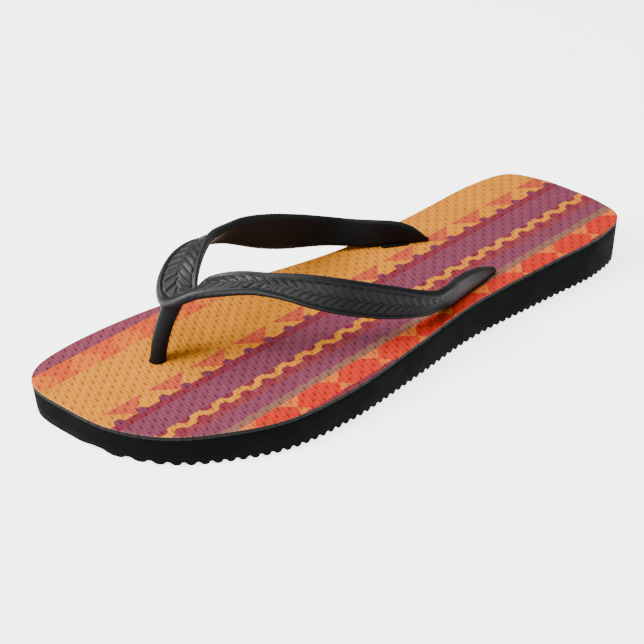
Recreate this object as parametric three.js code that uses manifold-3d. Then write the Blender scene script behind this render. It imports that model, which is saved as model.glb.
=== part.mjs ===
// A left flip flop: a layered sole, wedge-shaped from toe to heel, and a one-piece moulded Y-strap.
// Millimetres. +Z is up, the toe points to -Y, the outer side of the foot is +X.
// The origin is the middle of the sole's footprint, on the ground.

import * as THREE from "three";
import { mergeVertices } from "three/addons/utils/BufferGeometryUtils.js";
import Module from "manifold-3d";

// Sole
const SOLE_LENGTH = 280;
const BALL_WIDTH = 105.4; // widest, across the ball of the foot
const WAIST_WIDTH = 71.8; // narrowest, under the arch
const HEEL_WIDTH = 76.8;
const HEEL_SHIFT = 13.1; // how far the heel's middle lies towards the outer side
const TOE_THICKNESS = 11.8;
const HEEL_THICKNESS = 21.6;
const SHEET_THICKNESS = 2;
const OUTSOLE_THICKNESS = 3.5; // ribs included
const WALL_TAPER = 1; // how far the heel's wall leans in from its top edge to the ground

// Ribs across the underside
const RIB_PITCH = 4.06;
const RIB_DEPTH = 1.2;
const RIB_LAND = 2; // flat that meets the ground
const RIB_ROOT = 0.8; // flat at the bottom of a groove

// Strap
const POST_X = -18; // where the toe post meets the sole
const POST_FROM_TOE = 46;
const STRAP_TURN = 13.5; // degrees, the strap's own middle line against the sole's
const STRAP_REACH = 151; // from the post to the rear tip of a lobe
const STRAP_SPREAD = 39.6; // from the middle line to the widest point of an arm
const STRAP_RISE = 37.4; // top edge above the sole
const STRAP_THICKNESS = 3.6;
const POST_DIAMETER = 6.6;
const POST_TOP_DIAMETER = 9;

// Plugs that hold the strap in the sole
const TOE_FLANGE = 16; // diameter
const SIDE_STEM = [13, 3.2]; // long and narrow, along the lobe
const SIDE_FLANGE = [18, 9];
const SIDE_PLUG_FROM_TIP = 18.5; // from a lobe's rear tip, along the strap's middle line
const SIDE_PLUG_INSET = 1; // towards the middle line from the lobe's outer face
const FLANGE_THICKNESS = 2;
const FLANGE_RECESS = 1.8; // flange above the ground
const WASHER_THICKNESS = 1;
const WASHER_MARGIN = 0.5; // washer inside the flange's edge

// Flex line under the ball
const FLEX_FROM_TOE = 96;

// Clearances
const BOND_GAP = 0.05; // glue line between two layers
const FIT_GAP = 0.3; // plug in its hole
const SEAT_GAP = 0.6; // lobe over the sheet
const FLEX_GAP = 0.3; // between the two halves of the sole

const wasm = await Module();
wasm.setup();

// ---------------------------------------------------------------- solids

function solid(geometry) {
  const bare = geometry.index ? geometry.toNonIndexed() : geometry.clone();
  for (const name of Object.keys(bare.attributes)) {
    if (name !== "position") bare.deleteAttribute(name);
  }
  const merged = mergeVertices(bare, 1e-4);
  return new wasm.Manifold(
    new wasm.Mesh({
      numProp: 3,
      vertProperties: merged.attributes.position.array,
      triVerts: new Uint32Array(merged.index.array),
    }),
  );
}

function geometryOf(manifold) {
  const mesh = manifold.getMesh();
  return new THREE.BufferGeometry()
    .setAttribute("position", new THREE.BufferAttribute(mesh.vertProperties, 3))
    .setIndex(new THREE.BufferAttribute(mesh.triVerts, 1));
}

// A closed skin over rings of equally many points, with a flat cap at each end.
function loft(rings) {
  const count = rings[0].length;
  const positions = rings.flat().flatMap((p) => [p.x, p.y, p.z]);
  const triangles = [];
  for (let r = 0; r < rings.length - 1; r++) {
    for (let i = 0; i < count; i++) {
      const a = r * count + i;
      const b = r * count + ((i + 1) % count);
      triangles.push(a, b, b + count, a, b + count, a + count);
    }
  }
  const last = (rings.length - 1) * count;
  for (const [start, flip] of [[0, true], [last, false]]) {
    for (const [i, j, k] of capTriangles(rings[start ? rings.length - 1 : 0])) {
      triangles.push(...(flip ? [start + i, start + k, start + j] : [start + i, start + j, start + k]));
    }
  }
  const geometry = new THREE.BufferGeometry();
  geometry.setAttribute("position", new THREE.Float32BufferAttribute(positions, 3));
  geometry.setIndex(triangles);
  const made = solid(geometry);
  if (made.volume() > 0) return made;
  geometry.setIndex(triangles.reverse());
  return solid(geometry);
}

// Triangles that fill one flat ring, worked out in the ring's own plane.
function capTriangles(ring) {
  const middle = ring.reduce((sum, p) => sum.add(p), new THREE.Vector3()).divideScalar(ring.length);
  const normal = new THREE.Vector3();
  ring.forEach((p, i) => {
    const next = ring[(i + 1) % ring.length];
    normal.add(p.clone().sub(middle).cross(next.clone().sub(middle)));
  });
  normal.normalize();
  const across = ring[0].clone().sub(middle).normalize();
  const along = normal.clone().cross(across);
  const flat = ring.map((p) => {
    const from = p.clone().sub(middle);
    return new THREE.Vector2(from.dot(across), from.dot(along));
  });
  return THREE.ShapeUtils.triangulateShape(flat, []);
}

// An upright prism of a shape drawn in X and Y.
function prism(shape, from, to) {
  const geometry = new THREE.ExtrudeGeometry(shape, {
    depth: to - from,
    bevelEnabled: false,
    curveSegments: 12,
  });
  return solid(geometry.translate(0, 0, from));
}

// ---------------------------------------------------------------- sole outline

const BALL_X = BALL_WIDTH / 2;
const HEEL_IN_X = HEEL_SHIFT - HEEL_WIDTH / 2;
const HEEL_OUT_X = HEEL_SHIFT + HEEL_WIDTH / 2;
const WAIST_OUT_X = HEEL_IN_X + WAIST_WIDTH;
const OUTLINE_STEPS = 88;

// Height of the foot's surface at a place along the sole.
function topHeight(y) {
  return TOE_THICKNESS + (HEEL_THICKNESS - TOE_THICKNESS) * (y / SOLE_LENGTH + 0.5);
}

// The edge seen from above, through one point at each change of direction: [x, share of the length].
// The rounded curve is then fitted to the sole's length and width, about the origin.
function outline() {
  const points = [
    [-0.3 * BALL_X, 0],
    [-0.773 * BALL_X, 0.004],
    [-0.93 * BALL_X, 0.035],
    [-BALL_X, 0.1],
    [-0.97 * BALL_X, 0.22],
    [-0.84 * BALL_X, 0.35],
    [HEEL_IN_X - 8, 0.48],
    [HEEL_IN_X - 2, 0.58],
    [HEEL_IN_X, 0.74],
    [HEEL_IN_X + 0.3, 0.9],
    [HEEL_IN_X + 5.9, 0.974],
    [HEEL_SHIFT - 16.6, 0.997],
    [HEEL_SHIFT, 1],
    [HEEL_SHIFT + 18.4, 0.995],
    [HEEL_OUT_X - 7, 0.97],
    [HEEL_OUT_X - 0.3, 0.9],
    [HEEL_OUT_X - 2.5, 0.77],
    [WAIST_OUT_X, 0.59],
    [WAIST_OUT_X + 3.4, 0.45],
    [BALL_X, 0.3],
    [0.93 * BALL_X, 0.19],
    [0.74 * BALL_X, 0.117],
    [0.467 * BALL_X, 0.052],
    [0.095 * BALL_X, 0.012],
  ].map(([x, share]) => new THREE.Vector3(x, (share - 0.5) * SOLE_LENGTH, 0));
  const curve = new THREE.CatmullRomCurve3(points, true, "centripetal");
  const edge = curve.getSpacedPoints(OUTLINE_STEPS).slice(0, OUTLINE_STEPS);
  const box = new THREE.Box3().setFromPoints(edge);
  const size = box.getSize(new THREE.Vector3());
  const middle = box.getCenter(new THREE.Vector3());
  const fit = new THREE.Vector3(BALL_WIDTH / size.x, SOLE_LENGTH / size.y, 1);
  return edge.map((p) => p.sub(middle).multiply(fit));
}

const EDGE = outline();
const EDGE_INWARD = EDGE.map((p, i) => {
  const before = EDGE[(i + OUTLINE_STEPS - 1) % OUTLINE_STEPS];
  const after = EDGE[(i + 1) % OUTLINE_STEPS];
  const along = after.clone().sub(before).normalize();
  return new THREE.Vector3(along.y, -along.x, 0);
});

// One ring of the sole's wall, at the height that heightAt gives along the sole.
function wallRing(heightAt) {
  return EDGE.map((p, i) => {
    const z = heightAt(p.y);
    const lean = (WALL_TAPER * (topHeight(p.y) - z)) / HEEL_THICKNESS;
    return p.clone().addScaledVector(EDGE_INWARD[i], lean).setZ(z);
  });
}

// A layer of the whole sole between two heights.
function layer(bottomAt, topAt) {
  return loft([wallRing(bottomAt), wallRing(topAt)]);
}

// ---------------------------------------------------------------- strap frame

const POST_Y = POST_FROM_TOE - SOLE_LENGTH / 2;
const TURN = THREE.MathUtils.degToRad(STRAP_TURN);

// A point u behind the post, v to the outer side of the strap's middle line, h above the sole.
function strapPoint(u, v, h) {
  const x = POST_X + u * Math.sin(TURN) + v * Math.cos(TURN);
  const y = POST_Y + u * Math.cos(TURN) - v * Math.sin(TURN);
  return new THREE.Vector3(x, y, topHeight(y) + h);
}

// Top edge and lower edge of the outer arm, from the nose back to the lobe's tip, paired:
// shares of the reach, the spread and the rise.
const ARM_EDGES = [
  { top: [0.127, 0, 0.791], low: [0.011, 0, 0.647] },
  { top: [0.138, 0.056, 0.834], low: [0.03, 0.167, 0.727] },
  { top: [0.161, 0.152, 0.896], low: [0.076, 0.351, 0.818] },
  { top: [0.205, 0.323, 0.957], low: [0.139, 0.515, 0.845] },
  { top: [0.265, 0.528, 0.976], low: [0.212, 0.626, 0.802] },
  { top: [0.331, 0.662, 0.928], low: [0.285, 0.692, 0.706] },
  { top: [0.411, 0.78, 0.842], low: [0.371, 0.775, 0.561] },
  { top: [0.583, 0.929, 0.61], low: [0.543, 0.924, 0.262] },
  { top: [0.715, 0.995, 0.406], low: [0.682, 0.904, 0.094] },
  { top: [0.775, 0.904, 0.35], low: [0.762, 0.808, 0.032] },
  { top: [0.834, 0.742, 0.337], low: [0.821, 0.732, 0.003] },
  { top: [0.887, 0.641, 0.302], low: [0.881, 0.657, 0] },
  { top: [0.944, 0.556, 0.209], low: [0.94, 0.581, 0] },
  { top: [0.997, 0.5, 0.027], low: [1, 0.505, 0] },
];

// ---------------------------------------------------------------- plugs

// The line along which a lobe stands on the sole: its front, its rear tip and how far it leans in.
const [LOBE_FRONT, LOBE_TIP] = [ARM_EDGES.at(-3), ARM_EDGES.at(-1)].map(({ low: [u, v] }) => ({
  u: u * STRAP_REACH,
  v: v * STRAP_SPREAD,
}));
const LOBE_LEAN = (LOBE_FRONT.v - LOBE_TIP.v) / (LOBE_TIP.u - LOBE_FRONT.u);
const LOBE_TURN = THREE.MathUtils.radToDeg(Math.atan(LOBE_LEAN));
const SIDE_PLUG_U = LOBE_TIP.u - SIDE_PLUG_FROM_TIP;
const SIDE_PLUG_V = LOBE_TIP.v + LOBE_LEAN * SIDE_PLUG_FROM_TIP - SIDE_PLUG_INSET;

// A round-ended slot shape, centred, its length along Y.
function slot(length, width, Path = THREE.Shape) {
  const r = width / 2;
  const straight = (length - width) / 2;
  const path = new Path();
  path.absarc(0, straight, r, 0, Math.PI, false);
  path.absarc(0, -straight, r, Math.PI, 2 * Math.PI, false);
  path.closePath();
  return path;
}

const PLUGS = {
  toe: { u: 0, v: 0, turn: 0, stem: [POST_DIAMETER, POST_DIAMETER], flange: [TOE_FLANGE, TOE_FLANGE] },
  medial: { u: SIDE_PLUG_U, v: -SIDE_PLUG_V, turn: -LOBE_TURN, stem: SIDE_STEM, flange: SIDE_FLANGE },
  lateral: { u: SIDE_PLUG_U, v: SIDE_PLUG_V, turn: LOBE_TURN, stem: SIDE_STEM, flange: SIDE_FLANGE },
};
const FLANGE_TOP = FLANGE_RECESS + FLANGE_THICKNESS;
const WASHER_BOTTOM = FLANGE_TOP + FIT_GAP;
const WASHER_TOP = WASHER_BOTTOM + WASHER_THICKNESS;
const RECESS_TOP = WASHER_TOP + FIT_GAP;

// An upright round-ended prism on a plug's axis.
function plugPrism(plug, [length, width], from, to, hole) {
  const shape = slot(length, width);
  if (hole) shape.holes.push(slot(hole[0], hole[1], THREE.Path));
  const at = strapPoint(plug.u, plug.v, 0);
  const turned = prism(shape, from, to);
  return turned.rotate([0, 0, plug.turn - STRAP_TURN]).translate([at.x, at.y, 0]);
}

function grown([length, width], by) {
  return [length + 2 * by, width + 2 * by];
}

// What a plug needs cut out of the sole: a through hole for the stem and a recess from below.
function plugCut(plug) {
  const hole = plugPrism(plug, grown(plug.stem, FIT_GAP), -1, HEEL_THICKNESS + 1);
  const recess = plugPrism(plug, grown(plug.flange, FIT_GAP), -1, RECESS_TOP);
  return hole.add(recess);
}

function washer(plug) {
  return plugPrism(
    plug,
    grown(plug.flange, -WASHER_MARGIN),
    WASHER_BOTTOM,
    WASHER_TOP,
    grown(plug.stem, FIT_GAP),
  );
}

// ---------------------------------------------------------------- sole layers

const sheetBottom = (y) => topHeight(y) - SHEET_THICKNESS;

function topSheet() {
  return layer(sheetBottom, topHeight);
}

function midsole() {
  return layer(
    () => OUTSOLE_THICKNESS + BOND_GAP,
    (y) => sheetBottom(y) - BOND_GAP,
  );
}

// The underside: straight ribs across the sole, cut between the wall's two edges.
function outsole() {
  const ribs = 2 * Math.ceil(SOLE_LENGTH / RIB_PITCH / 2);
  const flank = (RIB_PITCH - RIB_LAND - RIB_ROOT) / 2;
  const start = (-ribs * RIB_PITCH) / 2;
  const profile = new THREE.Shape();
  profile.moveTo(start, OUTSOLE_THICKNESS);
  for (let i = 0; i < ribs; i++) {
    const y = start + i * RIB_PITCH;
    profile.lineTo(y, RIB_DEPTH);
    profile.lineTo(y + RIB_ROOT / 2, RIB_DEPTH);
    profile.lineTo(y + RIB_ROOT / 2 + flank, 0);
    profile.lineTo(y + RIB_ROOT / 2 + flank + RIB_LAND, 0);
    profile.lineTo(y + RIB_PITCH - RIB_ROOT / 2, RIB_DEPTH);
  }
  profile.lineTo(-start, RIB_DEPTH);
  profile.lineTo(-start, OUTSOLE_THICKNESS);
  const ribbed = new THREE.ExtrudeGeometry(profile, { depth: 2 * BALL_WIDTH, bevelEnabled: false });
  ribbed.rotateX(Math.PI / 2).rotateZ(Math.PI / 2).translate(-BALL_WIDTH, 0, 0);
  return layer(() => 0, () => OUTSOLE_THICKNESS).intersect(solid(ribbed));
}

// ---------------------------------------------------------------- strap

const ARM_STEPS = 3; // sections per stretch between two of the pairs above
const SECTION_EDGE = 1.5; // chamfer along both edges of the band

function edgeCurve(key) {
  const side = (sign) =>
    ARM_EDGES.map(({ [key]: [u, v, h] }) =>
      strapPoint(u * STRAP_REACH, sign * v * STRAP_SPREAD, h * STRAP_RISE + SEAT_GAP),
    );
  const points = [...side(-1).reverse(), ...side(1).slice(1)];
  return new THREE.CatmullRomCurve3(points, false, "centripetal");
}

// The band as sections from the inner lobe, round the nose, to the outer lobe.
function band() {
  const top = edgeCurve("top");
  const low = edgeCurve("low");
  const steps = 2 * (ARM_EDGES.length - 1) * ARM_STEPS;
  const rings = [];
  for (let i = 0; i <= steps; i++) {
    const t = i / steps;
    const a = low.getPoint(t);
    const b = top.getPoint(t);
    const across = b.clone().sub(a);
    const half = across.length() / 2;
    across.normalize();
    const along = low.getTangent(t).add(top.getTangent(t));
    const out = along.cross(across).normalize();
    const middle = a.add(b).multiplyScalar(0.5);
    const edge = Math.min(SECTION_EDGE, half / 2);
    const corners = [
      [-half, -0.25],
      [edge - half, -0.5],
      [half - edge, -0.5],
      [half, -0.25],
      [half, 0.25],
      [half - edge, 0.5],
      [edge - half, 0.5],
      [-half, 0.25],
    ];
    rings.push(
      corners.map(([w, n]) =>
        middle.clone().addScaledVector(across, w).addScaledVector(out, n * STRAP_THICKNESS),
      ),
    );
  }
  return loft(rings);
}

// The toe post leans back from the sole and widens under the nose.
function toePost() {
  const route = new THREE.CatmullRomCurve3([
    strapPoint(0, 0, -1),
    strapPoint(0.3, 0, 2),
    strapPoint(1.7, 0, 9),
    strapPoint(4.6, 0, 17),
    strapPoint(8.6, 0, STRAP_RISE * 0.655),
  ]);
  const steps = 8;
  const sides = 16;
  const side = strapPoint(0, 1, 0).sub(strapPoint(0, 0, 0)).setZ(0).normalize();
  const rings = [];
  for (let i = 0; i <= steps; i++) {
    const t = i / steps;
    const middle = route.getPoint(t);
    const front = route.getTangent(t).cross(side).normalize();
    const r = (POST_DIAMETER + (POST_TOP_DIAMETER - POST_DIAMETER) * t * t) / 2;
    const ring = [];
    for (let k = 0; k < sides; k++) {
      const turn = (2 * Math.PI * k) / sides;
      ring.push(
        middle.clone().addScaledVector(side, r * Math.cos(turn)).addScaledVector(front, r * Math.sin(turn)),
      );
    }
    rings.push(ring);
  }
  return loft(rings);
}

function plugShank(plug, top) {
  const stem = plugPrism(plug, plug.stem, FLANGE_RECESS, top);
  return stem.add(plugPrism(plug, plug.flange, FLANGE_RECESS, FLANGE_TOP));
}

function strap() {
  let made = band().add(toePost());
  const { toe, medial, lateral } = PLUGS;
  made = made.add(plugShank(toe, strapPoint(0, 0, 0).z));
  for (const plug of [medial, lateral]) {
    made = made.add(plugShank(plug, strapPoint(plug.u, plug.v, 2.5).z));
  }
  return made;
}

// ---------------------------------------------------------------- the two halves of the sole

const FLEX_Y = FLEX_FROM_TOE - SOLE_LENGTH / 2;

function halfSpace(from, to) {
  const box = new THREE.BoxGeometry(2 * BALL_WIDTH, to - from, 4 * HEEL_THICKNESS);
  return solid(box.translate(0, (from + to) / 2, 0));
}

const FRONT = halfSpace(-SOLE_LENGTH, FLEX_Y - FLEX_GAP / 2);
const REAR = halfSpace(FLEX_Y + FLEX_GAP / 2, SOLE_LENGTH);

// ---------------------------------------------------------------- assembly

const LOOKS = {
  print: new THREE.MeshStandardMaterial({ color: "#d98a45", roughness: 0.75, metalness: 0 }),
  foam: new THREE.MeshStandardMaterial({ color: "#1b1c1c", roughness: 0.85, metalness: 0 }),
  tread: new THREE.MeshStandardMaterial({ color: "#161717", roughness: 0.8, metalness: 0 }),
  strap: new THREE.MeshStandardMaterial({ color: "#2b2d2d", roughness: 0.55, metalness: 0 }),
  washer: new THREE.MeshStandardMaterial({ color: "#3a3a3a", roughness: 0.5, metalness: 0 }),
};

const flipFlop = new THREE.Group();

function place(name, manifold, look) {
  const mesh = new THREE.Mesh(geometryOf(manifold), LOOKS[look]);
  mesh.name = name;
  flipFlop.add(mesh);
}

const cuts = Object.values(PLUGS).map(plugCut);

function placeLayer(name, made, look) {
  const bored = cuts.reduce((left, cut) => left.subtract(cut), made);
  place(name + "_forefoot", bored.intersect(FRONT), look);
  place(name + "_rearfoot", bored.intersect(REAR), look);
}

placeLayer("footbed_sheet", topSheet(), "print");
placeLayer("midsole", midsole(), "foam");
placeLayer("outsole", outsole(), "tread");
place("strap", strap(), "strap");
for (const [name, plug] of Object.entries(PLUGS)) {
  place(name + "_washer", washer(plug), "washer");
}

export default flipFlop;
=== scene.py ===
import math

import bmesh
import bpy
import numpy as np
from mathutils import Matrix, Vector


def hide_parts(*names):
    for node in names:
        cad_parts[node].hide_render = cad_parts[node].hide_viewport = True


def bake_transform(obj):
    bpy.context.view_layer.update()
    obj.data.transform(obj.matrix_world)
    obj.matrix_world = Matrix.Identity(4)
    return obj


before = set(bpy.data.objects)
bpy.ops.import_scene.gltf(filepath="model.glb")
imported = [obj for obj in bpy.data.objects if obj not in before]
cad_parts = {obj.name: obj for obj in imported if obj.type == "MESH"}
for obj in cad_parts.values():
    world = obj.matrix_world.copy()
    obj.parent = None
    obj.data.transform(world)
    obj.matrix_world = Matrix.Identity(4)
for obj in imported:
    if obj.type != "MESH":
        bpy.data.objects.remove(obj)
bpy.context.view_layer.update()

# ---------------------------------------------------------------- camera, floor and light
# The flip flop stands on a pale sweep and is seen from its outer side, over the toe.
# A large soft lamp stands on the toe and inner side, and a pale room fills the rest.

camera_data = bpy.data.cameras.new("camera")
camera_data.sensor_width = 36
camera_data.lens = 81.2
camera = bpy.data.objects.new("camera", camera_data)
bpy.context.scene.collection.objects.link(camera)
camera_right = Vector((0.71694, 0.69707, 0.00941))
camera_up = Vector((-0.35905, 0.35765, 0.86207))
camera_forward = Vector((-0.59756, 0.62144, -0.5067))
turned = Matrix((camera_right, camera_up, -camera_forward)).transposed().to_4x4()
camera.matrix_world = Matrix.Translation((0.3702, -0.40341, 0.32097)) @ turned
bpy.context.scene.camera = camera


def put(tree, kind, *values, out=0, **settings):
    """Adds a node, sets its options, then gives its inputs in order: a socket is linked, None is skipped."""
    node = tree.nodes.new(kind)
    for key, value in settings.items():
        setattr(node, key, value)
    for slot, value in zip(node.inputs, values):
        if value is None:
            continue
        if isinstance(value, bpy.types.NodeSocket):
            tree.links.new(value, slot)
        else:
            slot.default_value = value
    return node.outputs[out]


def finish_of(name, roughness, specular=0.5):
    """A material whose own Principled sockets hold every value that is the same all over the surface."""
    material = bpy.data.materials.new(name)
    material.use_nodes = True
    shader = material.node_tree.nodes["Principled BSDF"]
    shader.inputs["Roughness"].default_value = roughness
    shader.inputs["Specular IOR Level"].default_value = specular
    return material, material.node_tree, shader


def dyed(red, green, blue):
    """A colour given as 0 to 255 display values, as the linear colour that a shader takes."""
    share = np.array([red, green, blue]) / 255
    linear = np.where(share <= 0.04045, share / 12.92, ((share + 0.055) / 1.055) ** 2.4)
    return (*linear.tolist(), 1.0)


SWEEP_HALF, SWEEP_LEVEL = 6.0, -1e-4
sweep_mesh = bpy.data.meshes.new("sweep")
sweep_corners = [(x * SWEEP_HALF, y * SWEEP_HALF, SWEEP_LEVEL) for x, y in ((-1, -1), (1, -1), (1, 1), (-1, 1))]
sweep_mesh.from_pydata(sweep_corners, [], [(0, 1, 2, 3)])
sweep = bpy.data.objects.new("sweep", sweep_mesh)
bpy.context.scene.collection.objects.link(sweep)
sweep_paper, _, paper_shader = finish_of("pale_paper", 0.9)
paper_shader.inputs["Base Color"].default_value = (0.92, 0.92, 0.92, 1)
paper_shader.inputs["Emission Color"].default_value = (1, 1, 1, 1)
paper_shader.inputs["Emission Strength"].default_value = 2.8
sweep_mesh.materials.append(sweep_paper)

room = bpy.data.worlds.new("room")
room.use_nodes = True
room.node_tree.nodes["Background"].inputs["Color"].default_value = (1, 1, 1, 1)
room.node_tree.nodes["Background"].inputs["Strength"].default_value = 0.36
bpy.context.scene.world = room

for lamp_name, place, side, watts in (
    ("key_lamp", (-0.72, -1.5, 1.28), 0.95, 74.0),
    ("top_lamp", (-0.1, -0.1, 1.5), 1.3, 30.0),
):
    lamp_data = bpy.data.lights.new(lamp_name, "AREA")
    lamp_data.shape = "SQUARE"
    lamp_data.size = side
    lamp_data.energy = watts
    lamp = bpy.data.objects.new(lamp_name, lamp_data)
    lamp.location = place
    towards_foot = Vector((0, 0, 0.02)) - Vector(place)
    lamp.rotation_euler = towards_foot.to_track_quat("-Z", "Y").to_euler()
    bpy.context.scene.collection.objects.link(lamp)

# ---------------------------------------------------------------- outsole
# The tread is a thin black rubber slab, moulded with straight ribs across the sole from edge to edge.
# It is glued under the foam, and three recesses let the strap's plugs sit above the ground.

SOLE_LENGTH, BALL_WIDTH, HEEL_WIDTH, WAIST_WIDTH, HEEL_SHIFT = 280.0, 105.4, 76.8, 71.8, 13.1
TOE_THICKNESS, HEEL_THICKNESS, SHEET_THICKNESS, OUTSOLE_THICKNESS = 11.8, 21.6, 2.0, 3.5
WALL_LEAN, TOE_SKEW = 0.6 / HEEL_THICKNESS, 0.1
RIB_PITCH, RIB_DEPTH, HALF_LAND, RIB_FLANK, ROWS_PER_RIB = 4.06, 1.2, 0.65, 1.0, 8
CORNER_TUCK = 0.12


def foot_height(y):
    """Height of the foot's surface: it rises evenly from the toe's thickness to the heel's."""
    return TOE_THICKNESS + (HEEL_THICKNESS - TOE_THICKNESS) * (y / SOLE_LENGTH + 0.5)


def wall_inset(y, z):
    """How far the wall stands inside the foot's outline at a height: the depth below the foot's surface times a
    lean, which is a touch outwards along the sole and turns inwards over the last 80 mm of the heel."""
    heel_share = np.clip((y - 60) / 60, 0, 1)
    return WALL_LEAN * (1.4 * heel_share - 1) * (foot_height(y) - z)


def toe_slide(y, z, share):
    """How far a place across the sole slides to the outer side at the toe: it grows with the depth below the foot's
    surface and with the nearness of the toe, and is largest at the inner wall."""
    return TOE_SKEW * (2.5 - 1.7 * share) * (foot_height(y) - z) * np.clip((-y - 60) / 60, 0, 1)


def spline(points, steps, closed):
    """Centripetal Catmull-Rom curve: each stretch is a cubic whose end slopes weigh the chords by the square root
    of their lengths. An open curve goes on straight past both ends. Gives that many steps for each stretch."""
    points = np.asarray(points, float)
    if closed:
        ring = np.concatenate([points[-1:], points, points[:2]])
    else:
        ring = np.concatenate([2 * points[:1] - points[1:2], points, 2 * points[-1:] - points[-2:-1]])
    a, b, c, d = ring[:-3], ring[1:-2], ring[2:-1], ring[3:]
    ab, bc, cd = (np.sqrt(np.linalg.norm(q - p, axis=1))[:, None] for p, q in ((a, b), (b, c), (c, d)))
    leave = ((b - a) / ab - (c - a) / (ab + bc) + (c - b) / bc) * bc
    reach = ((c - b) / bc - (d - b) / (bc + cd) + (d - c) / cd) * bc
    t = np.linspace(0, 1, steps, endpoint=False)[None, :, None]
    b, c, leave, reach = (q[:, None, :] for q in (b, c, leave, reach))
    curve = b + leave * t + (3 * (c - b) - 2 * leave - reach) * t**2 + (2 * (b - c) + leave + reach) * t**3
    curve = curve.reshape(-1, points.shape[1])
    return curve if closed else np.concatenate([curve, points[-1:]])


def outline():
    """The sole's edge from above: a closed curve through its changes of direction, scaled to the length and to the
    width, which is taken 0.8 mm wider on the inner side."""
    ball = BALL_WIDTH / 2
    heel_in, heel_out = HEEL_SHIFT - HEEL_WIDTH / 2, HEEL_SHIFT + HEEL_WIDTH / 2
    waist_out = heel_in + WAIST_WIDTH
    turns = np.array([
        (-0.3 * ball, 0), (-0.785 * ball, 0.003), (-0.945 * ball, 0.033), (-1.012 * ball, 0.1),
        (-0.98 * ball, 0.22), (-0.84 * ball, 0.35),
        (heel_in - 8, 0.48), (heel_in - 2, 0.58), (heel_in, 0.74), (heel_in + 0.3, 0.9),
        (heel_in + 5.9, 0.974), (HEEL_SHIFT - 16.6, 0.997), (HEEL_SHIFT, 1), (HEEL_SHIFT + 18.4, 0.995),
        (heel_out - 5.9, 0.974), (heel_out - 0.4, 0.9), (heel_out - 2.5, 0.77), (waist_out, 0.59),
        (waist_out + 3.4, 0.45), (ball, 0.3), (0.93 * ball, 0.19), (0.74 * ball, 0.117),
        (0.467 * ball, 0.052), (0.095 * ball, 0.012),
    ]) * (1, SOLE_LENGTH)
    edge = spline(turns, 60, closed=True)
    low, high = edge.min(0), edge.max(0)
    return (edge - (low + high) / 2) * ((BALL_WIDTH + 0.8, SOLE_LENGTH) / (high - low)) - (0.4, 0)


SOLE_EDGE = outline()


def edges_at(rows, inset):
    """x of the inner and outer edge, and y, for rows from -1 at the toe to 1 at the heel, on the outline drawn in
    by inset, a function of y: each point moves that far along the curve's inward normal."""
    along = np.roll(SOLE_EDGE, -1, 0) - np.roll(SOLE_EDGE, 1, 0)
    along /= np.linalg.norm(along, axis=1)[:, None]
    edge = SOLE_EDGE + inset(SOLE_EDGE[:, 1])[:, None] * np.stack([along[:, 1], -along[:, 0]], 1)
    toe = int(edge[:, 1].argmin())
    edge = np.roll(edge, -toe, 0)
    heel = int(edge[:, 1].argmax())
    inner, outer = edge[: heel + 1], np.concatenate([edge[heel:], edge[:1]])[::-1]
    low, high = edge[0, 1], edge[heel, 1]
    y = (low + high) / 2 + rows * (high - low) / 2
    sides = [np.interp(y, np.maximum.accumulate(side[:, 1]), side[:, 0]) for side in (inner, outer)]
    return sides[0], sides[1], y


def skin_from(name, points):
    """A mesh over a grid of points in millimetres, [row, place round the row, xyz]. Each row is a closed loop.
    Neighbours join in four-sided faces, points that fall together are merged, which closes rows that have shrunk
    to one point, and the faces are turned outwards."""
    rows, around = points.shape[:2]
    here = np.arange((rows - 1) * around).reshape(rows - 1, around)
    beside = np.roll(here, -1, axis=1)
    faces = np.stack([here, beside, beside + around, here + around], -1).reshape(-1, 4)
    mesh = bpy.data.meshes.new(name)
    mesh.vertices.add(rows * around)
    mesh.vertices.foreach_set("co", (points.reshape(-1) * 0.001).astype(np.float32))
    mesh.loops.add(faces.size)
    mesh.loops.foreach_set("vertex_index", faces.reshape(-1).astype(np.int32))
    mesh.polygons.add(len(faces))
    mesh.polygons.foreach_set("loop_start", np.arange(0, faces.size, 4, dtype=np.int32))
    mesh.update(calc_edges=True)
    work = bmesh.new()
    work.from_mesh(mesh)
    bmesh.ops.remove_doubles(work, verts=work.verts, dist=2e-6)
    bmesh.ops.recalc_face_normals(work, faces=work.faces)
    work.to_mesh(mesh)
    work.free()
    mesh.validate()
    piece = bpy.data.objects.new(name, mesh)
    bpy.context.scene.collection.objects.link(piece)
    return piece


def sole_skin(name, rows, loop):
    """A closed skin along the sole. Each place of the loop is (share across from inner to outer edge, further
    inset, height as a function of y). A row is that loop stretched between the two edges of the outline, with the
    wall's own inset added, and slid a little at the toe."""
    points = np.empty((len(rows), len(loop), 3))
    for place, (share, inset, height) in enumerate(loop):
        inner, outer, y = edges_at(rows, lambda y: inset + wall_inset(y, height(y)))
        x = inner + (outer - inner) * share + toe_slide(y, height(y), share)
        points[:, place] = np.stack([x, y, height(y)], 1)
    return skin_from(name, points)


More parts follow.
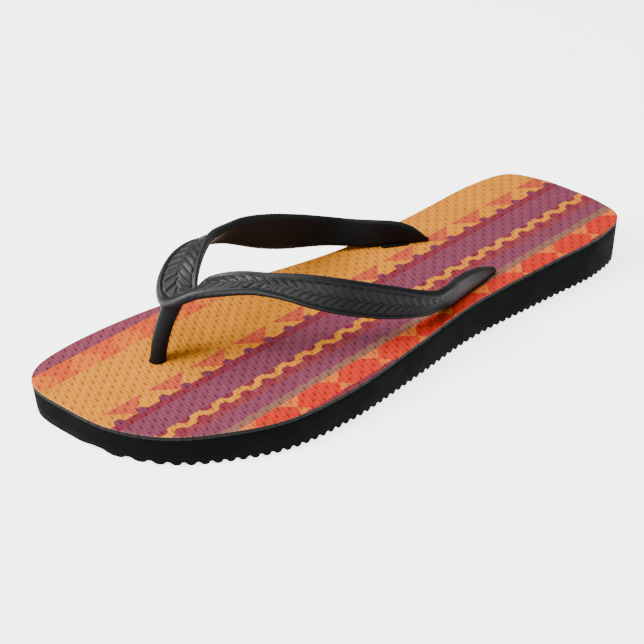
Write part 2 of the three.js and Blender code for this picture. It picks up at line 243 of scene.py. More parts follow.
STRAP_TURN = math.radians(13.5)
POST_X, POST_Y = -18.0, 46.0 - SOLE_LENGTH / 2
STRAP_REACH, STRAP_SPREAD, STRAP_RISE = 151.0, 39.6, 37.4
PLUG_STEM, PLUG_FLANGE, TOE_STEM, TOE_FLANGE = (13.0, 3.2), (18.0, 9.0), (6.6, 6.6), (16.0, 16.0)
CLEARANCE, PAST_SOLE = 0.3, (-1.0, 40.0)
FLANGE_LOW, FLANGE_HIGH, RECESS_HIGH = 1.8, 3.8, 5.4
LOBE_FRONT, LOBE_TIP = (0.881 * STRAP_REACH, 0.657 * STRAP_SPREAD), (STRAP_REACH, 0.505 * STRAP_SPREAD)
LOBE_LEAN = (LOBE_FRONT[1] - LOBE_TIP[1]) / (LOBE_TIP[0] - LOBE_FRONT[0])
SIDE_PLUG = (LOBE_TIP[0] - 18.5, LOBE_TIP[1] + LOBE_LEAN * 18.5 - 1.0)


def strap_place(points):
    """Points given as distance behind the post, distance to the outer side and height over the sole, turned and
    moved to the sole's own frame."""
    u, v, h = np.moveaxis(np.asarray(points, float), -1, 0)
    x = POST_X + u * math.sin(STRAP_TURN) + v * math.cos(STRAP_TURN)
    y = POST_Y + u * math.cos(STRAP_TURN) - v * math.sin(STRAP_TURN)
    return np.stack([x, y, foot_height(y) + h], -1)


def slot_column(at, turn, size, low, high, ends=40):
    """An upright round-ended column: a circle whose two halves are pulled apart to the length, turned, carried
    from low to high, and closed by its middle point at both ends."""
    length, width = size
    round_ = np.linspace(0, 2 * math.pi, ends, endpoint=False) + 1e-3
    x = width / 2 * np.cos(round_)
    y = width / 2 * np.sin(round_) + np.sign(np.sin(round_)) * (length - width) / 2
    turned_x = x * math.cos(turn) - y * math.sin(turn) + at[0]
    turned_y = x * math.sin(turn) + y * math.cos(turn) + at[1]
    rings = [np.stack([turned_x, turned_y, np.full_like(x, z)], 1) for z in (low, high)]
    middle = [np.broadcast_to((*at, z), rings[0].shape) for z in (low, high)]
    return np.stack([middle[0], rings[0], rings[1], middle[1]])


# Each seat: place from above, turn, stem's length and width, flange's length and width.
SEATS = [(strap_place((0, 0, 0))[:2], 0.0, TOE_STEM, TOE_FLANGE)]
for side in (-1, 1):
    seat_place = strap_place((SIDE_PLUG[0], side * SIDE_PLUG[1], 0))[:2]
    SEATS.append((seat_place, side * math.atan(LOBE_LEAN) - STRAP_TURN, PLUG_STEM, PLUG_FLANGE))


def bore(piece):
    """Cuts each plug's stem hole and the recess for its flange out of a layer of the sole."""
    tools = []
    for at, turn, stem, flange in SEATS:
        for size, low, high in ((stem, *PAST_SOLE), (flange, PAST_SOLE[0], RECESS_HIGH)):
            grown = (size[0] + 2 * CLEARANCE, size[1] + 2 * CLEARANCE)
            tools.append(skin_from("seat_cut", slot_column(at, turn, grown, low, high)))
    for tool in tools:
        step = piece.modifiers.new("bore", "BOOLEAN")
        step.operation = "DIFFERENCE"
        step.solver = "EXACT"
        step.object = tool
    shape = bpy.data.meshes.new_from_object(piece.evaluated_get(bpy.context.evaluated_depsgraph_get()))
    piece.modifiers.clear()
    old = piece.data
    piece.data = shape
    bpy.data.meshes.remove(old)
    shape.name = piece.name
    for tool in tools:
        bpy.data.objects.remove(tool)


def keep_rest(piece, crease=35):
    """Stores where each point lies at rest, in millimetres, so that a pattern bends with the piece, and shades
    the piece smoothly up to the crease angle."""
    mesh = piece.data
    count = len(mesh.vertices)
    place = np.empty(count * 3, np.float32)
    mesh.vertices.foreach_get("co", place)
    mesh.attributes.new("rest", "FLOAT_VECTOR", "POINT").data.foreach_set("vector", place * 1000)
    mesh.polygons.foreach_set("use_smooth", np.ones(len(mesh.polygons), bool))
    mesh.set_sharp_from_angle(angle=math.radians(crease))


def rib_height(y):
    """The tread's underside: ribs one pitch apart, flat where they meet the ground, with flanks that rise as a
    smooth S to the valley between."""
    away = np.abs(np.mod(y / RIB_PITCH, 1) - 0.5) * RIB_PITCH
    rise = np.clip((away - HALF_LAND) / RIB_FLANK, 0, 1)
    return RIB_DEPTH * rise * rise * (3 - 2 * rise)


def tread_rows():
    """Rows from -1 at the toe to 1 at the heel: eight to a rib, and closer together at both round ends."""
    _, _, reach = edges_at(np.array([-1.0, 1.0]), lambda y: wall_inset(y, 0))
    row_gap = RIB_PITCH / ROWS_PER_RIB
    steps = np.arange(math.ceil(reach[0] / row_gap), math.floor(reach[1] / row_gap) + 1) * row_gap
    steps = (2 * steps - reach.sum()) / (reach[1] - reach[0])
    ends = 1 - 0.012 * np.linspace(0, 1, 14) ** 2
    return np.unique(np.concatenate([steps[np.abs(steps) < 0.987], ends, -ends]))


def level(z):
    """The same height all along the sole."""
    return lambda y: np.full_like(y, z)


across = np.linspace(0, 1, 13)
outsole_wall = [
    (0.0, lambda y: rib_height(y) * 0.35 + 1.7),
    (0.0, level(OUTSOLE_THICKNESS - CORNER_TUCK)),
    (0.1, level(OUTSOLE_THICKNESS)),
]
outsole_loop = [(share, 0.0, rib_height) for share in across]
outsole_loop += [(1, inset, height) for inset, height in outsole_wall]
outsole_loop += [(share, 0.1, level(OUTSOLE_THICKNESS)) for share in across[-2:0:-1]]
outsole_loop += [(0, inset, height) for inset, height in outsole_wall[::-1]]
outsole = sole_skin("outsole", tread_rows(), outsole_loop)
bore(outsole)
keep_rest(outsole)

# Fine mould grain, shared by the rubber and foam pieces: two sizes of noise as a height, and a soft mottle.
grain = bpy.data.node_groups.new("mould_grain", "ShaderNodeTree")
for way, kind, label in (("INPUT", "Vector", "Place"), ("INPUT", "Float", "Fineness"),
                         ("OUTPUT", "Float", "Height"), ("OUTPUT", "Float", "Mottle")):
    grain.interface.new_socket(label, in_out=way, socket_type="NodeSocket" + kind)
grain_in, grain_out = grain.nodes.new("NodeGroupInput"), grain.nodes.new("NodeGroupOutput")
fine = put(grain, "ShaderNodeTexNoise", grain_in.outputs[0], None, grain_in.outputs[1], 3.0, 0.6)
cells = put(grain, "ShaderNodeTexVoronoi", grain_in.outputs[0], None, grain_in.outputs[1])
broad = put(grain, "ShaderNodeTexNoise", grain_in.outputs[0], None, 0.12, 3.0, 0.55)
both = put(grain, "ShaderNodeMath", fine, put(grain, "ShaderNodeMath", cells, 0.5, operation="MULTIPLY"))
grain.links.new(both, grain_out.inputs[0])
grain.links.new(broad, grain_out.inputs[1])


def grained(tree, shader, dark, light, fineness, depth, rough_low, rough_high):
    """Joins the mould grain to a material: the mottle moves the colour and the gloss, the height moves the light."""
    place = put(tree, "ShaderNodeAttribute", out=1, attribute_name="rest")
    group = tree.nodes.new("ShaderNodeGroup")
    group.node_tree = grain
    tree.links.new(place, group.inputs["Place"])
    group.inputs["Fineness"].default_value = fineness
    colour = tree.nodes.new("ShaderNodeMix")
    colour.data_type = "RGBA"
    colour.inputs[6].default_value, colour.inputs[7].default_value = dark, light
    tree.links.new(group.outputs["Mottle"], colour.inputs[0])
    tree.links.new(colour.outputs[2], shader.inputs["Base Color"])
    gloss = put(tree, "ShaderNodeMapRange", group.outputs["Mottle"], 0.3, 0.7, rough_low, rough_high)
    tree.links.new(gloss, shader.inputs["Roughness"])
    bump = tree.nodes.new("ShaderNodeBump")
    bump.inputs["Distance"].default_value = depth
    bump.inputs["Strength"].default_value = 1.0
    tree.links.new(group.outputs["Height"], bump.inputs["Height"])
    tree.links.new(bump.outputs[0], shader.inputs["Normal"])


tread_rubber, tread_tree, tread_shader = finish_of("tread_rubber", 0.8, specular=0.03)
grained(tread_tree, tread_shader, dyed(4, 5, 5), dyed(10, 11, 11), 1.4, 0.00006, 0.62, 0.8)
outsole.data.materials.clear()
outsole.data.materials.append(tread_rubber)
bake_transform(outsole)
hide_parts("outsole_rearfoot", "outsole_forefoot")

# ---------------------------------------------------------------- midsole
# A wedge of black closed-cell foam, thin at the toe and thick at the heel, whose wall is cut almost upright. It is
# glued between the tread and the printed sheet.

BOND, ROWS = 0.02, 360


def wedge_rows(count):
    """Rows spaced by a sine, so that they close up towards the round toe and heel."""
    return np.sin(np.linspace(-math.pi / 2, math.pi / 2, count))


foam_low = OUTSOLE_THICKNESS + BOND


def foam_at(share):
    """Height of a line round the foam wall, at a share of the way from its glued foot to its glued top."""
    return lambda y: foam_low + (foot_height(y) - SHEET_THICKNESS - BOND - foam_low) * share


# Each place up the wall: share of its height, and inset, which rounds off both edges.
foam_wall = [(0.0, 0.05), (0.01, 0.0), (0.3, 0.0), (0.6, 0.0), (0.99, 0.0), (1.0, 0.05)]
midsole_loop = [(share, CORNER_TUCK, foam_at(0.0)) for share in (0, 0.25, 0.5, 0.75)]
midsole_loop += [(1, inset, foam_at(share)) for share, inset in foam_wall]
midsole_loop += [(share, CORNER_TUCK, foam_at(1.0)) for share in (0.75, 0.5, 0.25)]
midsole_loop += [(0, inset, foam_at(share)) for share, inset in foam_wall[:0:-1]]
midsole = sole_skin("midsole", wedge_rows(ROWS), midsole_loop)
bore(midsole)
keep_rest(midsole)
foam, foam_tree, foam_shader = finish_of("black_foam", 0.9, specular=0.03)
grained(foam_tree, foam_shader, dyed(4, 5, 5), dyed(10, 11, 11), 1.1, 0.0001, 0.75, 0.92)
midsole.data.materials.clear()
midsole.data.materials.append(foam)
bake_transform(midsole)
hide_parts("midsole_rearfoot", "midsole_forefoot")

# ---------------------------------------------------------------- printed sheet
# The foot's surface is a 2 mm sheet of black foam rubber, heat-printed on top with lengthwise stripes and embossed
# all over with short grains that stop a wet foot slipping. It is glued on and die-cut with the rest of the sole.

EDGE_ROUND = 0.4


def sheet_at(drop):
    """Height of a line that runs along the sheet so far below the foot's surface."""
    return lambda y: foot_height(y) - drop


turn_in = np.linspace(0, math.pi / 2, 5)
sheet_edge = [(EDGE_ROUND * (1 - math.cos(a)), EDGE_ROUND * (1 - math.sin(a))) for a in turn_in]
sheet_columns = np.linspace(0, 1, 61)
sheet_loop = [(share, CORNER_TUCK, sheet_at(SHEET_THICKNESS)) for share in (0, 0.33, 0.67, 1)]
sheet_loop += [(1, 0.0, sheet_at(SHEET_THICKNESS - CORNER_TUCK))]
sheet_loop += [(1, inset, sheet_at(drop)) for inset, drop in sheet_edge]
sheet_loop += [(share, EDGE_ROUND, sheet_at(0)) for share in sheet_columns[-2:0:-1]]
sheet_loop += [(0, inset, sheet_at(drop)) for inset, drop in sheet_edge[::-1]]
sheet_loop += [(0, 0.0, sheet_at(SHEET_THICKNESS - CORNER_TUCK))]
footbed = sole_skin("footbed_sheet", wedge_rows(ROWS), sheet_loop)
bore(footbed)
keep_rest(footbed, 60)

printed, ink, print_shader = finish_of("printed_sheet", 0.72, specular=0.12)
rest = put(ink, "ShaderNodeAttribute", out=1, attribute_name="rest")
rest_xyz = ink.nodes.new("ShaderNodeSeparateXYZ")
ink.links.new(rest, rest_xyz.inputs[0])
plan_x, plan_y, plan_z = rest_xyz.outputs


def sum_(a, b, tree=ink):
    return put(tree, "ShaderNodeMath", a, b, operation="ADD")


def less(a, b, tree=ink):
    return put(tree, "ShaderNodeMath", a, b, operation="SUBTRACT")


def times(a, b, tree=ink):
    return put(tree, "ShaderNodeMath", a, b, operation="MULTIPLY")


def size_of(a, tree=ink):
    return put(tree, "ShaderNodeMath", a, operation="ABSOLUTE")


def greater(a, b, tree=ink):
    return put(tree, "ShaderNodeMath", a, b, operation="MAXIMUM")


def quotient(a, b, tree=ink):
    return put(tree, "ShaderNodeMath", a, b, operation="DIVIDE")


def fraction(a, tree=ink):
    return put(tree, "ShaderNodeMath", a, operation="FRACT")


def cosine(a, tree=ink):
    return put(tree, "ShaderNodeMath", a, operation="COSINE")


def within(distance, soft=0.22):
    """1 where a signed distance in millimetres is below nought, 0 above, with a soft printed edge between."""
    return put(ink, "ShaderNodeMapRange", distance, -soft / 2, soft / 2, 1.0, 0.0)


def printed_over(under, colour, mask):
    """One ink over another where the mask is 1."""
    node = ink.nodes.new("ShaderNodeMix")
    node.data_type = "RGBA"
    ink.links.new(mask, node.inputs[0])
    if isinstance(under, bpy.types.NodeSocket):
        ink.links.new(under, node.inputs[6])
    else:
        node.inputs[6].default_value = under
    node.inputs[7].default_value = colour
    return node.outputs[2]


# The stripes fan a little towards the heel, so a place is first led back to where its stripe starts at the toe.
PRINT_START, PRINT_LENGTH, FAN_SHIFT, FAN_GROWTH = -142.0, 284.0, 2.3, 0.05
run = times(less(plan_y, PRINT_START), 1 / PRINT_LENGTH)
stripe_x = quotient(sum_(plan_x, times(run, FAN_SHIFT)), sum_(times(run, FAN_GROWTH), 1.0))
# The figures along the stripes repeat every 11 mm at the toe and every 12 mm at the heel: a beat.
BEAT = 11.5
from_toe = sum_(plan_y, 131.6)
beat = less(times(from_toe, 1 / 11), times(times(from_toe, from_toe), 1.85e-5))


def from_centre(centre, period):
    """Distance in millimetres along the sole to the nearest figure's middle, for figures a number of beats apart."""
    share = fraction(times(less(beat, centre - period / 2), 1 / period))
    return size_of(times(less(share, 0.5), period * BEAT))


MAUVE, PLUM, ORANGE, YELLOW = dyed(118, 56, 70), dyed(110, 52, 70), dyed(197, 95, 32), dyed(195, 119, 23)
CRIMSON, PINK, ROSE, TAUPE, TOMATO = (
    dyed(112, 36, 49), dyed(175, 70, 44), dyed(121, 49, 55), dyed(120, 80, 66), dyed(182, 38, 22)
)
# The stripes from the inner to the outer side: where each starts across the toe, and its ink.
stripes = [(-44.3, ORANGE), (-33.2, YELLOW), (4.6, CRIMSON), (8.6, PLUM), (20.4, YELLOW), (25.4, ROSE), (29.6, PLUM),
           (36.7, TAUPE), (40.4, ORANGE), (50.4, CRIMSON)]
colour = MAUVE
for stripe_start, stripe_ink in stripes:
    colour = printed_over(colour, stripe_ink, within(less(stripe_start, stripe_x)))

# Coral waisted figures in the orange stripe on the inner side.
coral_reach = sum_(times(size_of(sum_(stripe_x, 37.5)), 0.95), 3.2)
coral = greater(less(from_centre(0.55, 2), coral_reach), less(size_of(sum_(stripe_x, 38.75)), 5.55))
colour = printed_over(colour, dyed(188, 72, 33), within(coral))
# Pink triangles in the yellow stripe: they stand on its middle line and point to the outer side.
pink_reach = times(less(4.6, stripe_x), 10.0 / 8.8)
pink = greater(less(from_centre(0.72, 2), pink_reach), less(-4.2, stripe_x))
colour = printed_over(colour, PINK, within(pink))
# Round plum bumps along the crimson stripe.


def round_figure(centre, period, x, radius):
    """Signed distance to a row of discs whose middles lie on one stripe line."""
    along = from_centre(centre, period)
    away = less(stripe_x, x)
    square = sum_(times(along, along), times(away, away))
    return less(put(ink, "ShaderNodeMath", square, operation="SQRT"), radius)


colour = printed_over(colour, dyed(103, 42, 62), within(round_figure(0.0, 1, 4.4, 2.3)))
# Round bites from both sides turn the yellow stripe into a wavy braid.
in_braid = less(size_of(less(stripe_x, 22.9)), 2.6)
colour = printed_over(colour, dyed(112, 35, 53), within(greater(round_figure(0.6, 1, 19.9, 2.9), in_braid)))
colour = printed_over(colour, dyed(115, 37, 49), within(round_figure(0.1, 1, 25.9, 2.9)))
# Tomato domes with narrow orange gaps along the outer edge.
gap_reach = greater(times(less(45.8, stripe_x), 1.05), times(less(stripe_x, 46.0), 0.7))
dome = greater(less(gap_reach, from_centre(0.75, 2)), less(size_of(less(stripe_x, 45.6)), 5.3))
colour = printed_over(colour, TOMATO, within(dome))

# Emboss: rows of short slanting pits with soft ridges between, every second row half a step over. The grid grows by
# a tenth from toe to heel.
GRAIN_ROW, GRAIN_STEP, GRAIN_SLANT, GRAIN_GROWTH = 3.27, 5.24, math.radians(-35), 0.09
PIT_X, PIT_Y, PIT_LONG, PIT_SHORT = -0.15, -0.75, 1.3, 0.6
emboss = bpy.data.node_groups.new("sheet_emboss", "ShaderNodeTree")
emboss.interface.new_socket("Place", in_out="INPUT", socket_type="NodeSocketVector")
emboss.interface.new_socket("Height", in_out="OUTPUT", socket_type="NodeSocketFloat")
emboss_in, emboss_out = emboss.nodes.new("NodeGroupInput"), emboss.nodes.new("NodeGroupOutput")
wander = put(emboss, "ShaderNodeTexNoise", emboss_in.outputs[0], None, 0.45, 2.0, 0.5, out=1)
centred = put(emboss, "ShaderNodeVectorMath", wander, (0.5, 0.5, 0.5), operation="SUBTRACT")
moved = put(emboss, "ShaderNodeVectorMath", emboss_in.outputs[0], centred, operation="ADD")
split = emboss.nodes.new("ShaderNodeSeparateXYZ")
emboss.links.new(moved, split.inputs[0])
toe_y = less(split.outputs[1], PRINT_START, emboss)
grown = sum_(times(toe_y, GRAIN_GROWTH / PRINT_LENGTH, emboss), 1.0, emboss)
fanned = sum_(split.outputs[0], times(toe_y, FAN_SHIFT / PRINT_LENGTH, emboss), emboss)
even_x = quotient(fanned, grown, emboss)
even_y = times(toe_y, less(1.0, times(toe_y, GRAIN_GROWTH / 2 / PRINT_LENGTH, emboss), emboss), emboss)
row_at = times(even_y, 1 / GRAIN_ROW, emboss)
row_number = put(emboss, "ShaderNodeMath", row_at, operation="FLOOR")
half_step = times(put(emboss, "ShaderNodeMath", row_number, 2.0, operation="FLOORED_MODULO"), 0.5, emboss)
step_at = sum_(times(even_x, 1 / GRAIN_STEP, emboss), half_step, emboss)
in_row = times(less(fraction(row_at, emboss), 0.5, emboss), GRAIN_ROW, emboss)
in_step = times(less(fraction(step_at, emboss), 0.5, emboss), GRAIN_STEP, emboss)
from_pit_x, from_pit_y = less(in_step, PIT_X, emboss), less(in_row, PIT_Y, emboss)


def turned_share(by_x, by_y):
    """The place measured from the pit along a line that leans by the two weights."""
    return sum_(times(from_pit_x, by_x, emboss), times(from_pit_y, by_y, emboss), emboss)


def pit_hollow():
    """A rounded hollow, 1 at its middle and 0 at its rim: 1 less the squares of the shares of its two radii."""
    along = turned_share(math.cos(GRAIN_SLANT) / PIT_LONG, math.sin(GRAIN_SLANT) / PIT_LONG)
    beside = turned_share(-math.sin(GRAIN_SLANT) / PIT_SHORT, math.cos(GRAIN_SLANT) / PIT_SHORT)
    square = sum_(times(along, along, emboss), times(beside, beside, emboss), emboss)
    return greater(less(1.0, square, emboss), 0.0, emboss)


def trough(turns_to_step, turns_to_row, depth):
    """A cosine wave with a trough through every pit, so many turns to a step and to a row, times the depth."""
    turns = turned_share(turns_to_step / GRAIN_STEP, turns_to_row / GRAIN_ROW)
    return times(cosine(times(turns, 2 * math.pi, emboss), emboss), -depth, emboss)


raised = times(pit_hollow(), -0.55, emboss)
for turns_to_step, turns_to_row, depth in ((1, 0.5, 0.2), (1, 1.5, 0.15), (0, 2, 0.16)):
    raised = sum_(raised, trough(turns_to_step, turns_to_row, depth), emboss)
emboss.links.new(raised, emboss_out.inputs[0])

pressed = ink.nodes.new("ShaderNodeGroup")
pressed.node_tree = emboss
ink.links.new(rest, pressed.inputs[0])
print_grain = ink.nodes.new("ShaderNodeGroup")
print_grain.node_tree = grain
ink.links.new(rest, print_grain.inputs["Place"])
print_grain.inputs["Fineness"].default_value = 2.2
PRESSED_LOW, PRESSED_HIGH = -1.1, 0.6
# Painted shade and painted light: the emboss height darkens the ink in the pits and lightens it on the ridges,
# standing in for light falling on the grain; the mottle below is the print's own random tone.
shade = put(ink, "ShaderNodeMapRange", pressed.outputs[0], PRESSED_LOW, PRESSED_HIGH, 0.64, 1.14)
worn = put(ink, "ShaderNodeMapRange", print_grain.outputs["Mottle"], 0.3, 0.7, 0.93, 1.06)
pit_shaded_ink = ink.nodes.new("ShaderNodeMix")
pit_shaded_ink.data_type, pit_shaded_ink.blend_type = "RGBA", "MULTIPLY"
pit_shaded_ink.inputs[0].default_value = 1.0
ink.links.new(colour, pit_shaded_ink.inputs[6])
grey = ink.nodes.new("ShaderNodeCombineColor")
pit_shade_and_wear = times(shade, worn)
for socket in grey.inputs[:3]:
    ink.links.new(pit_shade_and_wear, socket)
ink.links.new(grey.outputs[0], pit_shaded_ink.inputs[7])
# Below the ink a hair's breadth of the sheet's cut edge is painted pale, a painted highlight along its rounded top
# edge, then black.
INK_EDGE, PAINTED_HIGHLIGHT_DEPTH, EDGE_SOFT = 0.34, 0.42, 0.06
foot_rise, foot_middle = (HEEL_THICKNESS - TOE_THICKNESS) / SOLE_LENGTH, (TOE_THICKNESS + HEEL_THICKNESS) / 2
below = less(sum_(times(plan_y, foot_rise), foot_middle), plan_z)
skin_colour = printed_over(pit_shaded_ink.outputs[2], dyed(120, 92, 76), within(less(INK_EDGE, below), EDGE_SOFT))
skin_colour = printed_over(skin_colour, dyed(13, 14, 14), within(less(PAINTED_HIGHLIGHT_DEPTH, below), EDGE_SOFT))
ink.links.new(skin_colour, print_shader.inputs["Base Color"])
height = sum_(pressed.outputs[0], times(print_grain.outputs["Height"], 0.12))
bump = ink.nodes.new("ShaderNodeBump")
bump.inputs["Distance"].default_value = 0.0004
bump.inputs["Strength"].default_value = 1.0
ink.links.new(height, bump.inputs["Height"])
ink.links.new(bump.outputs[0], print_shader.inputs["Normal"])
gloss = put(ink, "ShaderNodeMapRange", pressed.outputs[0], PRESSED_LOW, PRESSED_HIGH, 0.85, 0.68)
ink.links.new(gloss, print_shader.inputs["Roughness"])
footbed.data.materials.clear()
footbed.data.materials.append(printed)
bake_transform(footbed)
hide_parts("footbed_sheet_rearfoot", "footbed_sheet_forefoot")

# ---------------------------------------------------------------- washers
# A stiff flat plastic washer lies over each plug's flange inside the sole, so the strap can't be pulled up through
# the foam. They are punched from sheet, and only show from below, round the edge of a flange.

washer_plastic, washer_tree, washer_shader = finish_of("washer_plastic", 0.45)
object_place = put(washer_tree, "ShaderNodeTexCoord", out=3)
streaks = put(washer_tree, "ShaderNodeTexNoise", object_place, None, 900.0, 2.0, 0.5)
washer_colour = washer_tree.nodes.new("ShaderNodeMix")
washer_colour.data_type = "RGBA"
washer_colour.inputs[6].default_value, washer_colour.inputs[7].default_value = dyed(46, 46, 47), dyed(62, 62, 63)
washer_tree.links.new(streaks, washer_colour.inputs[0])
washer_tree.links.new(washer_colour.outputs[2], washer_shader.inputs["Base Color"])
for washer_name in ("toe_washer", "medial_washer", "lateral_washer"):
    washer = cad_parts[washer_name]
    for material_slot in washer.material_slots:
        material_slot.material = washer_plastic

# ---------------------------------------------------------------- strap
# The Y-strap is one moulding of soft satin rubber: a toe post, a nose where the arms part, two arms with a raised
# border and a herringbone between, and two smooth lobes. Its three plugs are pulled down through the sole.

# Pairs of points along the outer arm: the top edge and the low edge, each as shares of the strap's reach back, its
# spread to the side and its rise over the sole. The last four lie on the lobe.
ARM_EDGES = [
    ((0.127, 0, 0.665), (0.011, 0, 0.647)),
    ((0.138, 0.056, 0.732), (0.03, 0.167, 0.727)),
    ((0.161, 0.152, 0.84), (0.076, 0.351, 0.818)),
    ((0.205, 0.323, 0.928), (0.139, 0.515, 0.845)),
    ((0.265, 0.528, 0.955), (0.212, 0.626, 0.812)),
    ((0.331, 0.662, 0.94), (0.285, 0.692, 0.697)),
    ((0.411, 0.78, 0.866), (0.371, 0.775, 0.512)),
    ((0.583, 0.929, 0.614), (0.543, 0.924, 0.222)),
    ((0.715, 0.995, 0.406), (0.682, 0.904, 0.094)),
    ((0.775, 0.904, 0.35), (0.762, 0.808, 0.032)),
    ((0.834, 0.742, 0.337), (0.821, 0.732, 0.003)),
    ((0.887, 0.641, 0.302), (0.881, 0.657, 0)),
    ((0.944, 0.556, 0.209), (0.94, 0.581, 0)),
    ((0.997, 0.5, 0.027), (1, 0.505, 0)),
]
# The outer lobe has splayed a little further than the inner one, with its top leaning in.
OUTER_LOBE = [
    ((0.84, 0.715, 0.276), (0.821, 0.732, 0.003)),
    ((0.898, 0.61, 0.238), (0.881, 0.657, 0)),
    ((0.962, 0.523, 0.172), (0.945, 0.579, 0)),
    ((1.014, 0.465, 0.078), (1.022, 0.495, 0)),
]
STRAP_HALF_THICK, INNER_SHORTER, ARM_STEP, EVENED_OVER = 1.8, 3.5, 0.38, 6
BORDER, RIB_PITCH_STRAP, RIB_HEIGHT, RIB_SLOPE, LOBE_BULGE = 2.3, 3.85, 0.6, 0.85, 2.6


def arm_edge(which):
    """One edge of the band, from the inner lobe round the nose to the outer lobe: a spline through the pairs and
    their mirror image, with the inner lobe drawn forward a little."""
    reach = (STRAP_REACH, STRAP_SPREAD, STRAP_RISE)
    inner = np.array([pair[which] for pair in ARM_EDGES]) * reach
    side = np.array([pair[which] for pair in ARM_EDGES[:-4] + OUTER_LOBE]) * reach
    mirrored = inner[1:][::-1] * (1, -1, 1)
    mirrored[:, 0] -= INNER_SHORTER * np.clip((mirrored[:, 0] / STRAP_REACH - 0.88) / 0.12, 0, 1)
    return strap_place(spline(np.concatenate([mirrored, side]), 60, closed=False))


def evened(points, width):
    """Points along a line averaged with their neighbours under a bell curve, its ends carried on straight."""
    reach = int(width * 3)
    bell = np.exp(-0.5 * (np.arange(-reach, reach + 1) / width) ** 2)
    bell /= bell.sum()
    steps = np.arange(1, reach + 1)[:, None]
    before = points[:1] - steps[::-1] * (points[1] - points[0])
    after = points[-1:] + steps * (points[-1] - points[-2])
    padded = np.concatenate([before, points, after])
    return np.stack([np.convolve(column, bell, "valid") for column in padded.T], 1)


low_edge, top_edge = arm_edge(1), arm_edge(0)
middle_line = (low_edge + top_edge) / 2
walked = np.concatenate([[0], np.cumsum(np.linalg.norm(np.diff(middle_line, axis=0), axis=1))])
arm_steps = int(walked[-1] / ARM_STEP)
even_walk = np.linspace(0, walked[-1], arm_steps + 1)
low_edge, top_edge = (
    np.stack([np.interp(even_walk, walked, column) for column in line.T], 1) for line in (low_edge, top_edge)
)
low_edge, top_edge = evened(low_edge, EVENED_OVER), evened(top_edge, EVENED_OVER)
STRAP_HALF_LENGTH = walked[-1] / 2
from_nose = np.abs(even_walk - STRAP_HALF_LENGTH)


def eased(value, low, high):
    """0 below low and 1 above high, with a smooth S between."""
    share = np.clip((value - low) / (high - low), 0, 1)
    return share * share * (3 - 2 * share)


def swell(centre, width):
    """A bell along the arms, 1 at a distance from the nose and fading over the width to both sides."""
    return np.exp(-(((from_nose - centre) / width) ** 2))


# The soft arms stand a millimetre towards the inner side just behind the nose, and sag or lift a little further on.
inner_arm, outer_arm = even_walk < STRAP_HALF_LENGTH, even_walk > STRAP_HALF_LENGTH
sway = eased(from_nose, 0, 12) * (1 - eased(from_nose, 35, 75))
low_edge[:, 0] -= 1.3 * sway + 0.8 * inner_arm * eased(from_nose, 85, 105)
top_edge[:, 0] -= np.where(inner_arm, 0.8, 1.5) * sway
low_edge[:, 2] += 0.8 * eased(from_nose, 2, 12) * (1 - eased(from_nose, 22, 45))
low_edge[:, 2] += 1.2 * inner_arm * swell(60, 14) + 1.5 * outer_arm * swell(88, 20)
top_edge[:, 2] += inner_arm * (0.5 * swell(82, 22) - 0.7 * swell(48, 8)) + 0.5 * outer_arm * swell(28, 16)


def band_frame():
    """At each step: the middle, the way across from the low edge to the top edge, half the width, the outward
    normal, and how far the way across leans along the arm."""
    across_ = top_edge - low_edge
    half = np.linalg.norm(across_, axis=1) / 2
    across_ /= 2 * half[:, None]
    forward = np.gradient(low_edge + top_edge, axis=0)
    forward /= np.linalg.norm(forward, axis=1)[:, None]
    away = forward * np.sign(even_walk - STRAP_HALF_LENGTH)[:, None]
    outward = np.cross(forward, across_)
    outward /= np.linalg.norm(outward, axis=1)[:, None]
    return (low_edge + top_edge) / 2, across_, half, outward, (across_ * away).sum(1)


middle, across_, half, outward, skew = band_frame()


def rounded(gap):
    """The share of the full thickness at a distance in from the band's edge: a quarter circle, then 1."""
    rounding = np.minimum(half, 1.6)[:, None]
    return np.sqrt(np.clip(1 - (1 - np.clip(gap / rounding, 0, 1)) ** 2, 0, 1))


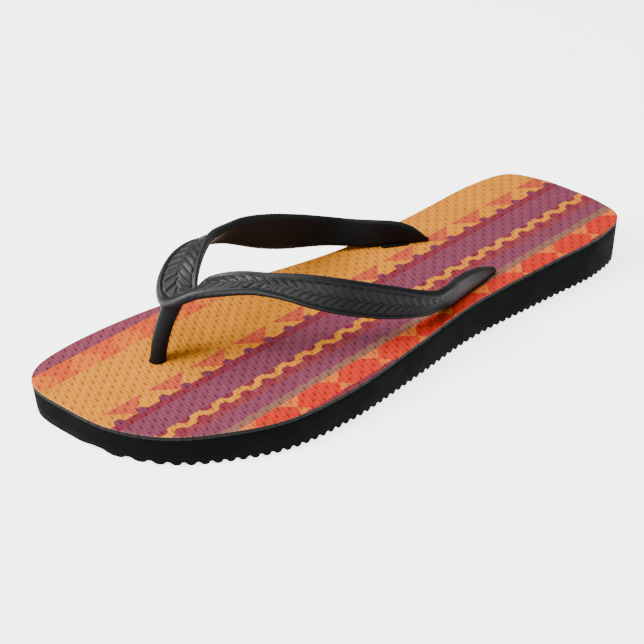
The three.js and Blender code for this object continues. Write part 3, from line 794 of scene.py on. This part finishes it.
def strap_skin():
    """The band: at each step a closed section is laid across from the low edge to the top edge. Its outer face has
    a rounded border along each edge and slanting ribs between, which meet in a zigzag line, and swells on the
    lobes. Its inner face is smooth and slightly crowned."""
    lobe = eased(from_nose, STRAP_HALF_LENGTH - 48, STRAP_HALF_LENGTH - 33)
    ribbed = eased(from_nose, 1.5, 7) * (1 - eased(from_nose, STRAP_HALF_LENGTH - 50, STRAP_HALF_LENGTH - 42))
    bordered = 1 - eased(from_nose, STRAP_HALF_LENGTH - 50, STRAP_HALF_LENGTH - 36)
    edge_part = 1 - np.cos(np.linspace(0, math.pi / 2, 7))
    outer_low = np.concatenate([edge_part[:-1] * 0.09, np.linspace(0.09, 0.24, 8)[:-1]])
    outer_share = np.concatenate([outer_low, np.linspace(0.24, 0.76, 30), (1 - outer_low)[::-1]])
    inner_low = edge_part[1:-1] * 0.11
    inner_share = np.concatenate([1 - inner_low, np.linspace(0.89, 0.11, 10), inner_low[::-1]])
    w = (outer_share[None, :] - 0.5) * 2 * half[:, None]
    gap = half[:, None] - np.abs(w)
    shoulder = rounded(gap)
    thick = STRAP_HALF_THICK * (1 - 0.35 * eased(from_nose, STRAP_HALF_LENGTH - 10, STRAP_HALF_LENGTH))[:, None]
    up_face = (w / half[:, None] + 1) / 2
    bulge = up_face**0.7 * np.clip(1 - up_face, 0, 1) ** 1.3 / 0.522
    border = BORDER + 2.2 * (1 - eased(from_nose, 1, 9))[:, None] * (w < 0)
    channel = eased(gap, border * 0.62, border * 1.15) * 0.95
    lean = np.sign(w)
    along_band = from_nose[:, None] + w * skew[:, None]
    phase = (along_band + RIB_SLOPE * np.abs(w)) / RIB_PITCH_STRAP + 0.25 * lean
    bar = 1 - np.abs(2 * np.mod(phase, 1) - 1) ** 2.1
    weave_line = 0.45 * np.cos(2 * math.pi * along_band / RIB_PITCH_STRAP)
    seam = eased(np.abs(w - weave_line), 0.0, 0.7)
    ribs = RIB_HEIGHT * bar * (0.35 + 0.65 * seam) * eased(gap, border, border * 1.35)
    n_outer = thick * shoulder + bordered[:, None] * (0.25 * shoulder - channel) + ribs * ribbed[:, None]
    n_outer += lobe[:, None] * LOBE_BULGE * bulge * np.minimum(1, half / 5)[:, None]
    w_in = (inner_share[None, :] - 0.5) * 2 * half[:, None]
    crown = 1 + 0.12 * np.clip(1 - (w_in / half[:, None]) ** 2, 0, 1)
    n_inner = -thick * rounded(half[:, None] - np.abs(w_in)) * crown
    w_all, n_all = np.concatenate([w, w_in], 1), np.concatenate([n_outer, n_inner], 1)
    points = middle[:, None] + across_[:, None] * w_all[..., None] + outward[:, None] * n_all[..., None]
    tip_a, tip_b = points[:1].mean(1, keepdims=True), points[-1:].mean(1, keepdims=True)
    ends = [np.broadcast_to(tip, points[:1].shape) for tip in (tip_a, tip_b)]
    return skin_from("strap", np.concatenate([ends[0], points, ends[1]]))


def post_skin():
    """The toe post: round sections along a line that leans back from the sole, widening into the nose. The last
    ones tilt to lie in the nose and open out like a trumpet."""
    turns = [(0, 0, -1), (0.3, 0, 2), (1.7, 0, 9), (4.6, 0, 17), (7.4, 0, 22.4), (8.6, 0, 25.0)]
    route = spline(turns, 10, closed=False)
    share = np.linspace(0, 1, len(route))
    tangent = np.gradient(route, axis=0)
    tangent /= np.linalg.norm(tangent, axis=1)[:, None]
    lean = np.arctan2(tangent[:, 0], tangent[:, 2])
    flare = eased(share, 0.8, 1.0)
    lean = lean * (1 - flare) + math.radians(-17) * flare
    radius = 3.2 + 0.9 * share**2 + 0.9 * flare**2
    round_ = np.linspace(0, 2 * math.pi, 48, endpoint=False)
    front = np.stack([np.cos(lean), np.zeros_like(lean), -np.sin(lean)], 1)
    ring = front[:, None] * np.cos(round_)[:, None] + np.array([0, 1.0, 0]) * np.sin(round_)[:, None]
    points = strap_place(route[:, None] + ring * radius[:, None, None])
    ends = [np.broadcast_to(points[k].mean(0), points[:1].shape) for k in (0, -1)]
    return skin_from("strap_post", np.concatenate([ends[0], points, ends[1]]))


def joined(pieces):
    """Several closed skins kept as one mesh."""
    work = bmesh.new()
    for piece in pieces:
        work.from_mesh(piece.data)
    work.to_mesh(pieces[0].data)
    work.free()
    for piece in pieces[1:]:
        bpy.data.objects.remove(piece)
    return pieces[0]


shanks = []
for (at, turn, stem, flange), top in zip(SEATS, (1.0, 0.8, 0.8)):
    high = float(foot_height(at[1]) + top)
    shanks.append(skin_from("stem", slot_column(at, turn, stem, FLANGE_HIGH - 0.5, high)))
    shanks.append(skin_from("flange", slot_column(at, turn, flange, FLANGE_LOW, FLANGE_HIGH)))
strap = joined([strap_skin(), post_skin(), *shanks])
keep_rest(strap, 50)
# The mould leaves the band's outside smooth at the nose and the lobes, and all the rest dull: "polish" holds how much.
spots = np.empty(len(strap.data.vertices) * 3, np.float32)
strap.data.attributes["rest"].data.foreach_get("vector", spots)
spots = spots.reshape(-1, 3)
ways = ((spots[:, None] - middle[None, ::8]) ** 2).sum(2).argmin(1) * 8
outside = ((spots - middle[ways]) * outward[ways]).sum(1)
shiny = 1 - 0.98 * eased(from_nose, 38, 72) + 0.5 * eased(from_nose, STRAP_HALF_LENGTH - 40, STRAP_HALF_LENGTH - 30)
polished = (eased(outside, -0.6, 0.9) * shiny[ways]).astype(np.float32)
strap.data.attributes.new("polish", "FLOAT", "POINT").data.foreach_set("value", polished)
strap_rubber, strap_tree, strap_shader = finish_of("strap_rubber", 0.55, specular=0.1)
grained(strap_tree, strap_shader, dyed(13, 15, 16), dyed(19, 21, 22), 2.0, 0.00003, 0.5, 0.6)
strap_shader.inputs["Coat Roughness"].default_value = 0.48
polish = put(strap_tree, "ShaderNodeAttribute", out=2, attribute_name="polish")
strap_tree.links.new(times(polish, 0.64, strap_tree), strap_shader.inputs["Coat Weight"])
strap.data.materials.clear()
strap.data.materials.append(strap_rubber)
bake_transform(strap)
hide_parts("strap")
